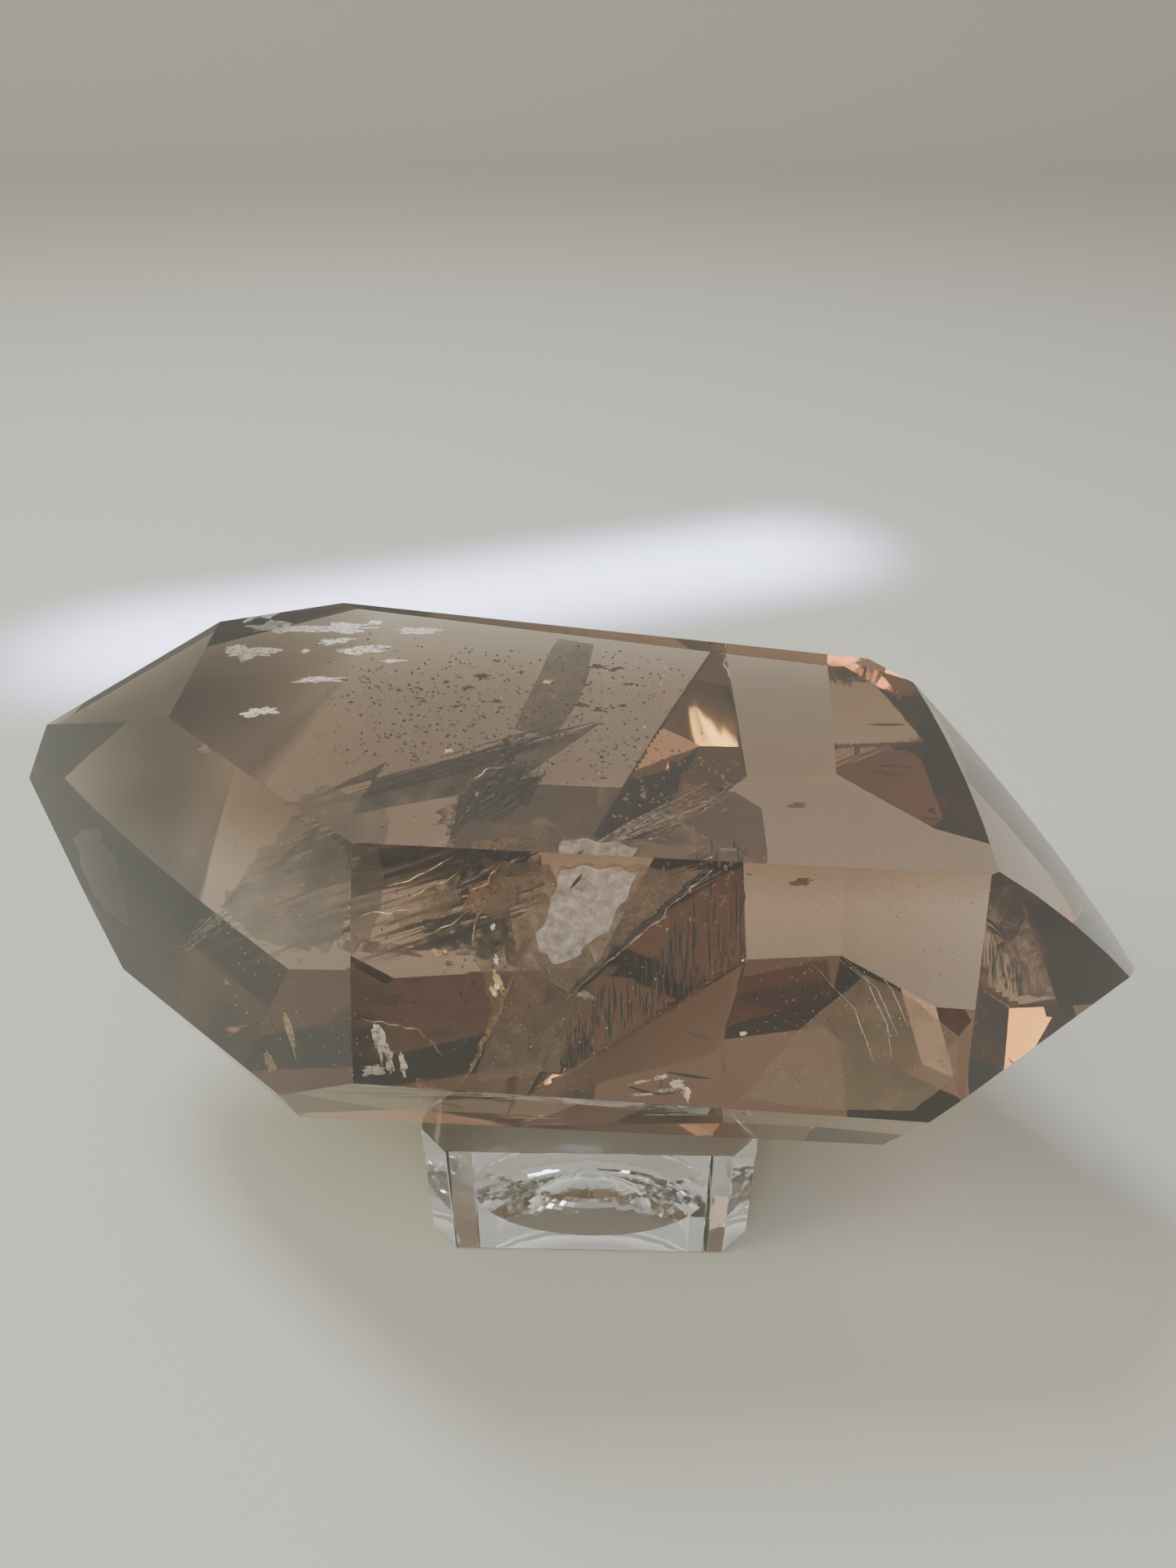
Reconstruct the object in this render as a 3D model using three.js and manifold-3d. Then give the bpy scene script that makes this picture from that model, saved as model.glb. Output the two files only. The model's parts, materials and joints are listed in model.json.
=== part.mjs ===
// A double terminated citrine point, hand polished, lying on a small clear glass stand.
// Millimetres, +Z up. The stand's foot is centred on the origin, the long axis of the stone
// runs along X, and the broad front of the stone looks towards -Y.
import * as THREE from 'three';
import { mergeVertices } from 'three/addons/utils/BufferGeometryUtils.js';
import Module from 'manifold-3d';

const wasm = await Module();
wasm.setup();

// The stand: a square block with cut corners and a shallow round dish in its top.
const STAND_SIDE = 30;
const STAND_HEIGHT = 14.5;
const STAND_CUT = 2.4; // taken off each corner, measured along the side
const DISH_DIAMETER = 24.5;
const DISH_DEPTH = 3.2;

// How the stone lies: its axis dips to the right and is turned a little on the stand.
const REST_GAP = 0.3; // air left between the stone and the stand
const STONE_MIDDLE_Y = 4;
const AXIS_DIP = 6.5; // degrees, right tip lower
const AXIS_TURN = -2; // degrees, right tip nearer to the front

// Every face of the stone, as its polisher left it. In the stone's own frame X is the axis.
// around: degrees about the axis, 0 to the front and 90 up (a perfect prism steps by 60)
// tilt:   degrees towards the right tip (0 on a perfect prism, 38.2 on a perfect point)
// reach:  distance of the face from the stone's middle
// dome:   the two faces that polishing left slightly rounded
const REST = { around: -90, tilt: AXIS_DIP, reach: 16.2 };
const SOFT_RIGHT = { along: 145, across: 250, rise: 0.8 };
const SOFT_LEFT = { along: 350, across: 500, rise: 0.9 };
const PRISM = [
  { around: 92, tilt: -2.5, reach: 14.5 }, // top
  { around: 22.5, tilt: 2.5, reach: 20.9 }, // front
  { around: -28.5, tilt: 3, reach: 22.5 }, // lower front
  REST,
  { around: -149, tilt: -3.5, reach: 18.1 }, // lower back
  { around: 156, tilt: 1, reach: 23.9 }, // upper back
];
const LEFT_POINT = [
  { around: 89.5, tilt: -33, reach: 31 },
  { around: 19, tilt: -39, reach: 27.9, dome: SOFT_LEFT },
  { around: -29, tilt: -31, reach: 32.5 },
  { around: -101, tilt: -19, reach: 24.5 },
  { around: 162, tilt: -30.5, reach: 34.7 },
];
const RIGHT_POINT = [
  { around: 94, tilt: 37.5, reach: 29.9, dome: SOFT_RIGHT },
  { around: 25.5, tilt: 31.5, reach: 32.2 },
  { around: -29, tilt: 38.5, reach: 33.9 },
  { around: -92.5, tilt: 32, reach: 28.3 },
  { around: -154.5, tilt: 41.5, reach: 30.5 },
  { around: 158.5, tilt: 45.5, reach: 33.7 },
];
const ROUGH = { length: 150, across: 90 }; // the block that the faces are ground from

// A domed face is ground as a net of small flats, this many and this far apart.
const DOME_CENTRE = 22; // from the foot of the reach, towards the tip
const DOME_FLATS = { along: 7, across: 5 };
const DOME_STEP = 6;

// The small chip on the upper back edge.
const CHIP = { x: -13.5, width: 1.7, depth: 0.35 };

// Three old cracks run in from the surface. Each is a thin flat cut, given as the faces are,
// and it ends inside the stone at its limits.
const CRACK_WIDTH = 0.12;
const CROSS_CRACK = { around: 169.4, tilt: -76.5, reach: 7.2 };
const CRACKS = [
  {
    at: { around: -141.3, tilt: -40, reach: 5.1 }, // main crack, across the lower back
    limits: [{ around: 75.7, tilt: -43.5, reach: -7.3 }],
  },
  {
    at: CROSS_CRACK, // steep, across the back half, with its foot reaching forward
    limits: [{ around: 25.3, tilt: -11, reach: 9.8 }],
  },
  {
    at: { around: 151.5, tilt: -34.3, reach: 8.5 }, // wing, from the left point to the cross crack
    limits: [opposite(CROSS_CRACK), { around: -103.3, tilt: -7.8, reach: 16.6 }],
  },
];

const rad = THREE.MathUtils.degToRad;

// A closed three.js shape as a solid that can be cut.
function toSolid(geometry) {
  geometry.deleteAttribute('normal');
  geometry.deleteAttribute('uv');
  const merged = mergeVertices(geometry, 1e-5);
  return new wasm.Manifold(new wasm.Mesh({
    numProp: 3,
    vertProperties: new Float32Array(merged.attributes.position.array),
    triVerts: new Uint32Array(merged.index.array),
  }));
}

// A cut solid as a three.js mesh with flat facets.
function toMesh(name, solid, material) {
  const cut = solid.getMesh();
  const geometry = new THREE.BufferGeometry();
  geometry.setAttribute('position', new THREE.BufferAttribute(cut.vertProperties, 3));
  geometry.setIndex(new THREE.BufferAttribute(cut.triVerts, 1));
  geometry.computeVertexNormals();
  const mesh = new THREE.Mesh(geometry, material);
  mesh.name = name;
  return mesh;
}

// The outward direction of a face in the stone's own frame.
function facing({ around, tilt }) {
  return new THREE.Vector3(
    Math.sin(rad(tilt)),
    -Math.cos(rad(tilt)) * Math.cos(rad(around)),
    Math.cos(rad(tilt)) * Math.sin(rad(around)),
  );
}

// The same plane, facing the other way.
function opposite({ around, tilt, reach }) {
  return { around: around + 180, tilt: -tilt, reach: -reach };
}

// The flats that make up one face: a single plane, or a net of planes touching a shallow dome.
function flats(face) {
  const normal = facing(face);
  if (!face.dome) return [{ normal, reach: face.reach }];
  const { along, across, rise } = face.dome;
  const toTip = new THREE.Vector3(Math.sign(face.tilt), 0, 0).projectOnPlane(normal).normalize();
  const sideways = new THREE.Vector3().crossVectors(normal, toTip);
  const net = [];
  for (let i = 0; i < DOME_FLATS.along; i++) {
    for (let j = 0; j < DOME_FLATS.across; j++) {
      const u = DOME_STEP * (i - (DOME_FLATS.along - 1) / 2);
      const v = DOME_STEP * (j - (DOME_FLATS.across - 1) / 2);
      const drop = u * u / (2 * along) + v * v / (2 * across);
      const touch = normal.clone().multiplyScalar(face.reach + rise - drop)
        .addScaledVector(toTip, DOME_CENTRE + u)
        .addScaledVector(sideways, v);
      const leaning = normal.clone()
        .addScaledVector(toTip, u / along)
        .addScaledVector(sideways, v / across)
        .normalize();
      net.push({ normal: leaning, reach: leaning.dot(touch) });
    }
  }
  return net;
}

// The point of the upper back edge at a place along the axis, where the chip is.
function upperBackEdge(x) {
  const [top, back] = [PRISM[0], PRISM[5]];
  const [a, b] = [facing(top), facing(back)];
  const [p, q] = [top.reach - a.x * x, back.reach - b.x * x];
  const area = a.y * b.z - a.z * b.y;
  return new THREE.Vector3(x, (p * b.z - a.z * q) / area, (a.y * q - p * b.y) / area);
}

function chip() {
  const edge = upperBackEdge(CHIP.x);
  const outward = facing(PRISM[0]).add(facing(PRISM[5])).normalize();
  const size = CHIP.width * Math.SQRT1_2;
  const wedge = new THREE.BoxGeometry(size, 4 * size, size);
  wedge.rotateY(Math.PI / 4);
  wedge.rotateX(Math.atan2(outward.z, outward.y) - Math.PI / 2);
  const centre = edge.addScaledVector(outward, CHIP.width / 2 - CHIP.depth);
  wedge.translate(centre.x, centre.y, centre.z);
  return toSolid(wedge);
}

function roughBlock() {
  return toSolid(new THREE.BoxGeometry(ROUGH.length, ROUGH.across, ROUGH.across));
}

// What is left of a solid when all that lies beyond a plane is ground off.
function grind(solid, normal, reach) {
  return solid.trimByPlane(normal.clone().negate().toArray(), -reach);
}

// The thin slab that a crack takes out of the stone.
function crack({ at, limits }) {
  const back = opposite(at);
  let slab = grind(roughBlock(), facing(at), at.reach + CRACK_WIDTH / 2);
  slab = grind(slab, facing(back), back.reach + CRACK_WIDTH / 2);
  for (const limit of limits) {
    slab = grind(slab, facing(limit), limit.reach);
  }
  return slab;
}

function crystal() {
  let stone = roughBlock();
  for (const face of [...PRISM, ...LEFT_POINT, ...RIGHT_POINT]) {
    for (const { normal, reach } of flats(face)) {
      stone = grind(stone, normal, reach);
    }
  }
  stone = stone.subtract(chip());
  for (const cut of CRACKS) {
    stone = stone.subtract(crack(cut));
  }
  const mesh = toMesh('crystal', stone, new THREE.MeshStandardMaterial({
    color: 0xa58f7c,
    roughness: 0.05,
    metalness: 0,
    transparent: true,
    opacity: 0.7,
  }));
  mesh.position.set(0, STONE_MIDDLE_Y, STAND_HEIGHT + REST_GAP + REST.reach);
  mesh.rotation.set(0, rad(AXIS_DIP), rad(AXIS_TURN), 'ZYX');
  return mesh;
}

// The square outline with its four corners cut.
function standOutline() {
  const half = STAND_SIDE / 2;
  const flat = half - STAND_CUT;
  const outline = new THREE.Shape();
  outline.moveTo(flat, -half);
  outline.lineTo(half, -flat);
  outline.lineTo(half, flat);
  outline.lineTo(flat, half);
  outline.lineTo(-flat, half);
  outline.lineTo(-half, flat);
  outline.lineTo(-half, -flat);
  outline.lineTo(-flat, -half);
  outline.closePath();
  return outline;
}

// The solid taken out for the dish: a ball's cap with a plug above it.
function dish() {
  const rim = DISH_DIAMETER / 2;
  const ball = (rim * rim + DISH_DEPTH * DISH_DEPTH) / (2 * DISH_DEPTH);
  const rings = 9;
  const profile = [];
  for (let i = 0; i <= rings; i++) {
    const angle = Math.asin(rim / ball) * i / rings;
    profile.push(new THREE.Vector2(ball * Math.sin(angle), ball - DISH_DEPTH - ball * Math.cos(angle)));
  }
  const above = 1;
  profile.push(new THREE.Vector2(rim, above));
  profile.push(new THREE.Vector2(0, above));
  const turned = new THREE.LatheGeometry(profile, 72);
  turned.rotateX(Math.PI / 2);
  turned.translate(0, 0, STAND_HEIGHT);
  return toSolid(turned);
}

function stand() {
  const block = toSolid(new THREE.ExtrudeGeometry(standOutline(), {
    depth: STAND_HEIGHT,
    bevelEnabled: false,
  }));
  return toMesh('stand', block.subtract(dish()), new THREE.MeshStandardMaterial({
    color: 0xe4e8ea,
    roughness: 0.04,
    metalness: 0,
    transparent: true,
    opacity: 0.5,
  }));
}

const citrine = new THREE.Group();
citrine.add(crystal(), stand());

export default citrine;
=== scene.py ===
# %% [markdown]
# A double terminated citrine on a small clear stand
#
# The stone is a natural quartz crystal with a point at both ends. Every face has been ground and polished
# by hand, so the faces are flat but not quite symmetric. It is as clear as smoked glass, and what makes it
# interesting is inside: old fractures that shine like silver, a few golden gleams and clouds of tiny specks.
# This lesson dresses the plain solids in Blender: first the camera and the light, then the stone, then
# what lies inside it, and last the stand.

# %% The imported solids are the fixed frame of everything
import json
import math
import random

import bmesh
import bpy
from mathutils import Matrix, Vector, noise
from mathutils.bvhtree import BVHTree

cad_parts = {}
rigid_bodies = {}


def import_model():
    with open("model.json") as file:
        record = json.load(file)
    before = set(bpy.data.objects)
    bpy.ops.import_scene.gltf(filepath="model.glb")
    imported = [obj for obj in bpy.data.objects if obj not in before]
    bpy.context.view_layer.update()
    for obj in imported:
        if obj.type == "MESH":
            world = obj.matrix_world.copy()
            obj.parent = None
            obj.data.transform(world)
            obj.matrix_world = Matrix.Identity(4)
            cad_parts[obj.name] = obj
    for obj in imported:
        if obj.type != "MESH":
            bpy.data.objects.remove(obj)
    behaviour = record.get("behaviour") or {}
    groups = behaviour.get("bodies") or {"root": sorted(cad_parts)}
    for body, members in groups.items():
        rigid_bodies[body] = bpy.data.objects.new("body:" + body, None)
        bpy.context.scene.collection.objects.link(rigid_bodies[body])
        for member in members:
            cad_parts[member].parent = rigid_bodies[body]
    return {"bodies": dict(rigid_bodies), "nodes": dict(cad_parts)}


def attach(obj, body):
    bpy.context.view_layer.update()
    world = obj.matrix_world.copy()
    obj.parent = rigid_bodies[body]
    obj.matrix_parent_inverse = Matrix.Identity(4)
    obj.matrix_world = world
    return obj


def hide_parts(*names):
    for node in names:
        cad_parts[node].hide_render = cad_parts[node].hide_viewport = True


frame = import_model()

MM = 0.001
BODY = next(iter(frame["bodies"]))
noise.seed_set(8)  # vector noise starts from the clock unless it is told a seed
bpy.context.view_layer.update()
print("solids:", sorted(frame["nodes"]))

# %% [markdown]
# Small helpers
#
# Every colour below is a hex value as a paint chart gives it (sRGB), and Blender wants linear light, so one
# function converts it. Another one adds a node, fills its sockets and joins its links in one call, which
# keeps the node trees readable. The others start a material, put a mesh into the scene and end the work
# on one.

# %% Colour, nodes and meshes
def colour(hex_value):
    """An sRGB hex colour as linear RGBA."""
    channels = [int(hex_value[i:i + 2], 16) / 255 for i in (1, 3, 5)]
    return [c / 12.92 if c <= 0.04045 else ((c + 0.055) / 1.055) ** 2.4 for c in channels] + [1.0]


def add(tree, kind, settings=None, **inputs):
    """Adds a node. An input is a value for that socket, or another node's output to link to it.

    A socket is called by its name, or by its number after an underscore.
    """
    node = tree.nodes.new(kind)
    for name, value in (settings or {}).items():
        setattr(node, name, value)
    for name, value in inputs.items():
        by_number = name[1:].isdigit()
        socket = node.inputs[int(name[1:])] if by_number else node.inputs[name.replace("_", " ")]
        if isinstance(value, bpy.types.NodeSocket):
            tree.links.new(value, socket)
        else:
            socket.default_value = value
    return node


def new_material(name):
    material = bpy.data.materials.new(name)
    material.use_nodes = True
    material.node_tree.nodes.clear()
    return material, material.node_tree


def place(name, mesh, material):
    """A mesh as a new object at the origin, with one material."""
    piece = bpy.data.objects.new(name, mesh)
    bpy.context.scene.collection.objects.link(piece)
    piece.data.materials.clear()
    piece.data.materials.append(material)
    return piece


def to_mesh(work, name):
    """Ends the work on a bmesh and gives it back as a mesh."""
    mesh = bpy.data.meshes.new(name)
    work.to_mesh(mesh)
    work.free()
    return mesh


print("middle grey #808080 is", round(colour("#808080")[0], 3), "in linear light")

# %% [markdown]
# The camera
#
# A lens is found from the picture itself: the corners of the little stand and of the stone fit only one
# camera position and one focal length. The camera looks down at about 36 degrees from in front.

# %% The camera
CAMERA_AT = Vector((1.25, -79.14, 100.61)) * MM
LOOK_DOWN = math.radians(35.84)
LOOK_LEFT = math.radians(1.19)
LENS = 26.97
SENSOR = 36.0

camera = bpy.data.objects.new("camera", bpy.data.cameras.new("camera"))
camera.data.lens = LENS
camera.data.sensor_width = SENSOR
camera.data.clip_start = 1 * MM
camera.data.clip_end = 20
camera.location = CAMERA_AT
camera.rotation_euler = (math.pi / 2 - LOOK_DOWN, 0, LOOK_LEFT)
bpy.context.scene.collection.objects.link(camera)
bpy.context.scene.camera = camera
print("camera at", [round(c / MM, 1) for c in CAMERA_AT], "mm, lens", LENS, "mm")

# %% [markdown]
# Floor and backdrop
#
# A clear stone shows its surroundings more than itself, so the sheet under it matters. A real one is a roll
# of matt paper. One long pale sheet lies flat and then rises in a curve behind, without a corner that the
# stone would show as a line.

# %% The seamless sheet
SHEET_HALF_WIDTH = 0.9
SHEET_FRONT = -0.7
SHEET_CURVE_FROM = 0.62
SHEET_CURVE = 0.20
SHEET_CURVE_STEPS = 16
SHEET_TOP = 0.75
SHEET_AT = -0.2 * MM


def sheet_profile():
    points = [(SHEET_FRONT, 0.0), (SHEET_CURVE_FROM, 0.0)]
    for i in range(1, SHEET_CURVE_STEPS + 1):
        turn = math.pi / 2 * i / SHEET_CURVE_STEPS
        points.append((SHEET_CURVE_FROM + SHEET_CURVE * math.sin(turn), SHEET_CURVE * (1 - math.cos(turn))))
    points.append((SHEET_CURVE_FROM + SHEET_CURVE, SHEET_TOP))
    return points


def make_paper():
    """Uncoated paper: pale grey and fully matt, so it gives no reflections of its own."""
    material, tree = new_material("pale_backdrop_paper")
    shader = add(tree, "ShaderNodeBsdfPrincipled", Base_Color=colour("#c8c6c1"), Roughness=0.9)
    add(tree, "ShaderNodeOutputMaterial", Surface=shader.outputs[0])
    return material


def make_sheet():
    profile = sheet_profile()
    vertices = [(side * SHEET_HALF_WIDTH, y, z + SHEET_AT) for y, z in profile for side in (-1, 1)]
    faces = [(2 * i, 2 * i + 1, 2 * i + 3, 2 * i + 2) for i in range(len(profile) - 1)]
    mesh = bpy.data.meshes.new("sheet")
    mesh.from_pydata(vertices, [], faces)
    mesh.polygons.foreach_set("use_smooth", [True] * len(faces))
    return place("sheet", mesh, make_paper())


sheet = make_sheet()
print("the sheet is", 2 * SHEET_HALF_WIDTH, "m wide")

# %% [markdown]
# Light
#
# Soft daylight in a dim room. Inside a faceted stone each facet mirrors one small part of the room, so it is
# not enough to make the room bright: every bright field of the stone needs something bright in just the
# direction that it mirrors. The windows and pale walls are therefore a few area lamps, each at the place
# that one group of facets looks at.

# %% The dim room
ROOM_AT_WINDOWS = 0.60
ROOM_AWAY = 0.42


def make_room():
    """An even room, a little lighter towards the window side at the left."""
    world = bpy.data.worlds.new("dim_room")
    bpy.context.scene.world = world
    world.use_nodes = True
    tree = world.node_tree
    tree.nodes.clear()
    direction = add(tree, "ShaderNodeTexCoord")
    parts = add(tree, "ShaderNodeSeparateXYZ", Vector=direction.outputs["Generated"])
    level = add(tree, "ShaderNodeMapRange", Value=parts.outputs["X"], From_Min=-1.0, From_Max=1.0,
                To_Min=ROOM_AT_WINDOWS, To_Max=ROOM_AWAY)
    room = add(tree, "ShaderNodeBackground", Color=colour("#fdf6ee"), Strength=level.outputs[0])
    add(tree, "ShaderNodeOutputWorld", Surface=room.outputs[0])


make_room()
print("room:", ROOM_AT_WINDOWS, "towards the windows,", ROOM_AWAY, "on the other side")

# %% The windows and pale walls
UNDER_STONE = (0, 0, 0.02)
STONE_MIDDLE = (0, 0, 0.03)


def area_light(name, at, target, size, power, tint, spread=180):
    """A soft rectangular lamp. at, target and size in metres, power in watts, spread in degrees."""
    data = bpy.data.lights.new(name, "AREA")
    data.shape = "RECTANGLE"
    data.size, data.size_y = size
    data.spread = math.radians(spread)
    data.energy = power
    data.color = colour(tint)[:3]
    lamp = bpy.data.objects.new(name, data)
    lamp.location = at
    lamp.rotation_euler = (Vector(target) - Vector(at)).to_track_quat("-Z", "Y").to_euler()
    bpy.context.scene.collection.objects.link(lamp)
    return lamp


# The main window, behind the stone at the left. Its narrow spread keeps the far floor darker.
area_light("back_window", (-0.33, 0.38, 0.83), UNDER_STONE, (0.26, 0.30), 0.80, "#f4fbff", spread=64)
# A warm window at the left, which the golden facet of the right point mirrors.
area_light("left_window", (-0.75, -0.21, 0.72), STONE_MIDDLE, (0.30, 0.38), 3.6, "#fff8b2")
# Pale things in the room in front: one for the gleam in the main fracture, one for the right of the top face.
area_light("front_glow", (-0.173, -0.628, 0.483), STONE_MIDDLE, (0.12, 0.046), 0.76, "#dcf2b8")
area_light("front_left_glow", (-0.3875, -0.5745, 0.43), STONE_MIDDLE, (0.27, 0.12), 0.28, "#abdbff")
# The ceiling in front, which fills the middle of the stone.
area_light("front_fill", (-0.12, -0.34, 0.86), (0, -0.03, 0), (0.60, 0.40), 1.8, "#eef5ff")
# The far edge of the window, which the lower right of the front face mirrors.
area_light("window_edge", (-0.529, 0.443, 0.696), STONE_MIDDLE, (0.17, 0.13), 0.17, "#dcf0ff")
# A slit of sun on the sheet behind the stone.
area_light("slit_of_sun", (0.009, 0.025, 0.30), (-0.024, 0.120, 0), (0.15, 0.012), 0.09, "#c4cbff", spread=8)

# %% [markdown]
# How often light may turn
#
# In a faceted stone light is turned back many times before it finds a way out. With the usual few bounces
# such paths end early and the stone gets black facets, so the limits are raised. Films lie one behind the
# other as well, and each that is looked through counts.

# %% Bounces for a clear stone
BOUNCES = 20
GLOSSY_BOUNCES = 10
SEE_THROUGH_FILMS = 24

light_paths = bpy.context.scene.cycles
light_paths.max_bounces = BOUNCES
light_paths.glossy_bounces = GLOSSY_BOUNCES
light_paths.transmission_bounces = BOUNCES
light_paths.transparent_max_bounces = SEE_THROUGH_FILMS
print("bounces:", BOUNCES, "in the stone,", SEE_THROUGH_FILMS, "films in a row")

# %% [markdown]
# The stone's body
#
# Quartz bends light by a mean index of 1.547, and its polished faces have no roughness to speak of. The
# smoke in it is a colour that grows with the distance light travels, so it is an absorption in the volume
# and not a tint of the surface.

# %% Polished smoky citrine
QUARTZ_IOR = 1.547
STONE_CLEARNESS = 0.96


def make_citrine():
    """Polished quartz. What isn't passed clear is scattered, as by the fine haze in the real stone."""
    material, tree = new_material("polished_smoky_citrine")
    shader = add(tree, "ShaderNodeBsdfPrincipled", Base_Color=(1, 1, 1, 1), Roughness=0.0, IOR=QUARTZ_IOR,
                 Transmission_Weight=STONE_CLEARNESS)
    smoke = add(tree, "ShaderNodeVolumeAbsorption", Color=colour("#cba063"), Density=40.0)
    add(tree, "ShaderNodeOutputMaterial", Surface=shader.outputs[0], Volume=smoke.outputs[0])
    return material


CITRINE = make_citrine()
print("made", CITRINE.name)

# %% [markdown]
# The stone's shape
#
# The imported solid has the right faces, but real polish leaves no knife edges: a tiny bevel catches the light
# there. The solid also carries the old cracks as open cuts. In the real stone they have healed and only
# films are left, so the outside is the hull of the solid's corners, and the films come later. Its two
# domed faces are nets of small flats, so edges that turn only a little are shaded smooth instead of eased.

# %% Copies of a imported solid
SAME_POINT = 0.002 * MM
FLAT_TURN = math.radians(0.1)


def merged_copy(node):
    """The solid's own triangles as a bmesh, with its doubled corners merged."""
    work = bmesh.new()
    work.from_mesh(frame["nodes"][node].data)
    bmesh.ops.remove_doubles(work, verts=work.verts, dist=SAME_POINT)
    return work


def healed_copy(node):
    """A convex stone without its open cracks: the hull of its corners."""
    work = merged_copy(node)
    bmesh.ops.delete(work, geom=work.faces[:] + work.edges[:], context="EDGES_FACES")
    hull = bmesh.ops.convex_hull(work, input=work.verts, use_existing_faces=False)
    inner = {v for v in hull["geom_interior"] + hull["geom_unused"] if isinstance(v, bmesh.types.BMVert)}
    bmesh.ops.delete(work, geom=list(inner), context="VERTS")
    bmesh.ops.recalc_face_normals(work, faces=work.faces)
    work.normal_update()
    return work


# %% The stone, with its edges eased
EDGE_EASE = 0.18 * MM
DOME_TURN = math.radians(3.2)


def ease_edges(work, name):
    """Real edges get a tiny bevel, and shallow domes are shaded smooth."""
    bmesh.ops.dissolve_limit(work, angle_limit=FLAT_TURN, verts=work.verts, edges=work.edges)
    hard = [e for e in work.edges if e.is_manifold and e.calc_face_angle() > DOME_TURN]
    bmesh.ops.bevel(work, geom=hard, offset=EDGE_EASE, offset_type="OFFSET", segments=2, profile=0.5,
                    affect="EDGES", clamp_overlap=True)
    for face in work.faces:
        face.smooth = True
    for edge in work.edges:
        edge.smooth = not edge.is_manifold or edge.calc_face_angle() < DOME_TURN
    return to_mesh(work, name)


def dress(node, name, mesh, material):
    """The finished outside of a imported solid, in its place."""
    piece = place(name, mesh, material)
    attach(piece, BODY)
    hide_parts(node)
    print(name, len(mesh.polygons), "faces")
    return piece


stone_mesh = ease_edges(healed_copy("crystal"), "polished_crystal")
stone = dress("crystal", "polished_crystal", stone_mesh, CITRINE)

# %% [markdown]
# Painted shade inside the stone
#
# The stone looks pale honey at its right tip and grey-brown at its left end and in its upper part. Much of
# that dark is the floor it shows there, which lies in its shadow and is darker than the even sheet here, so
# denser absorbing zones paint that shade into the stone. Absorption is a plain number in a material, so each
# denser zone is a closed body of its own inside the first, and the absorption of bodies that lie inside each
# other adds up. Each has the stone's outline a hair further in than the last, because no two clear surfaces
# may lie in the same place. A zone's index is 1, so its surface bends nothing and stays unseen.

# %% The body of a zone
def inner_body(name, share, limits):
    """The stone, shrunk to a share about its middle and cut by planes, each a (point in mm, outward)."""
    work = healed_copy("crystal")
    middle = sum((v.co for v in work.verts), Vector()) / len(work.verts)
    for vertex in work.verts:
        vertex.co = middle + (vertex.co - middle) * share
    bmesh.ops.dissolve_limit(work, angle_limit=FLAT_TURN, verts=work.verts, edges=work.edges)
    for point, outward in limits:
        everything = work.verts[:] + work.edges[:] + work.faces[:]
        cut = bmesh.ops.bisect_plane(work, geom=everything, dist=1e-7, plane_co=Vector(point) * MM,
                                     plane_no=Vector(outward), clear_outer=True)
        rim = [e for e in cut["geom_cut"] if isinstance(e, bmesh.types.BMEdge)]
        bmesh.ops.contextual_create(work, geom=rim)
    bmesh.ops.recalc_face_normals(work, faces=work.faces)
    closed = all(e.is_manifold for e in work.edges)
    print(name, "is closed:", closed, "and holds", round(work.calc_volume() / MM**3), "mm3")
    return to_mesh(work, name)


def make_shade_absorber(name, tint, density):
    """Painted shade: a zone that darkens the stone where it shows the shadowed floor. It only takes light
    away.
    """
    material, tree = new_material(name)
    shader = add(tree, "ShaderNodeBsdfPrincipled", Base_Color=(1, 1, 1, 1), Roughness=0.0, IOR=1.0,
                 Transmission_Weight=1.0)
    smoke = add(tree, "ShaderNodeVolumeAbsorption", Color=colour(tint), Density=density)
    add(tree, "ShaderNodeOutputMaterial", Surface=shader.outputs[0], Volume=smoke.outputs[0])
    return material


def painted_shade_zone(name, share, limits, tint, density):
    zone = place(name, inner_body(name, share, limits), make_shade_absorber(name + "_shade_volume", tint, density))
    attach(zone, BODY)


# %% The four zones
# The cuts lean against the eye's lines, so none shows as a border.
# Each zone is painted shade for the shadowed, darker floor seen through the stone there.
painted_shade_zone("shade_zone_left_half", 0.992, [((-12, 4, 36), (1, -0.5, 0.3))], "#bcb4b4", 16.0)
painted_shade_zone("shade_zone_left_point", 0.986, [((-33, 4, 36), (1, -0.5, 0.3)), ((-30, 8, 35), (0.6, -0.2, -1))],
           "#b4a8a0", 135.0)
painted_shade_zone("shade_zone_left_foot", 0.974, [((-42, 4, 33), (-0.2, 0.2, 1)), ((-31, 4, 30), (1, -0.3, -0.3))],
           "#aea6a4", 90.0)
painted_shade_zone("shade_zone_upper_side", 0.980, [((0, 4, 35), (0, -0.4, -1))], "#d8c8b4", 66.0)

# %% [markdown]
# The inside of the stone
#
# Everything from here on lies inside the stone, and a flake that stuck out of a face would be seen at once.
# The faces' own planes, moved in by a skin, say what is inside. The walls of the cracks are faces of the
# solid too, and they are left out because corners lie beyond them.

# %% The planes that bound the inside
SKIN = 0.12 * MM


def inner_planes(node):
    """The planes of the stone's outer faces, moved in by the skin, as (point, outward normal)."""
    planes = {}
    for face in frame["nodes"][node].data.polygons:
        key = tuple(round(c, 3) for c in face.normal) + (round(face.normal.dot(face.center) / MM, 1),)
        planes[key] = (face.center - face.normal * SKIN, face.normal.copy())
    corners = [v.co for v in frame["nodes"][node].data.vertices]
    return [(p, n) for p, n in planes.values() if max((c - p).dot(n) for c in corners) < 2 * SKIN]


def push_inside(points):
    """The same points, moved together until none of them sticks out of the stone."""
    for on_plane, outward in STONE_PLANES * 2:
        out_by = max((point - on_plane).dot(outward) for point in points)
        if out_by > 0:
            points = [point - outward * out_by for point in points]
    return points


STONE_PLANES = inner_planes("crystal")
print(len(STONE_PLANES), "planes bound the inside of the stone")

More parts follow.
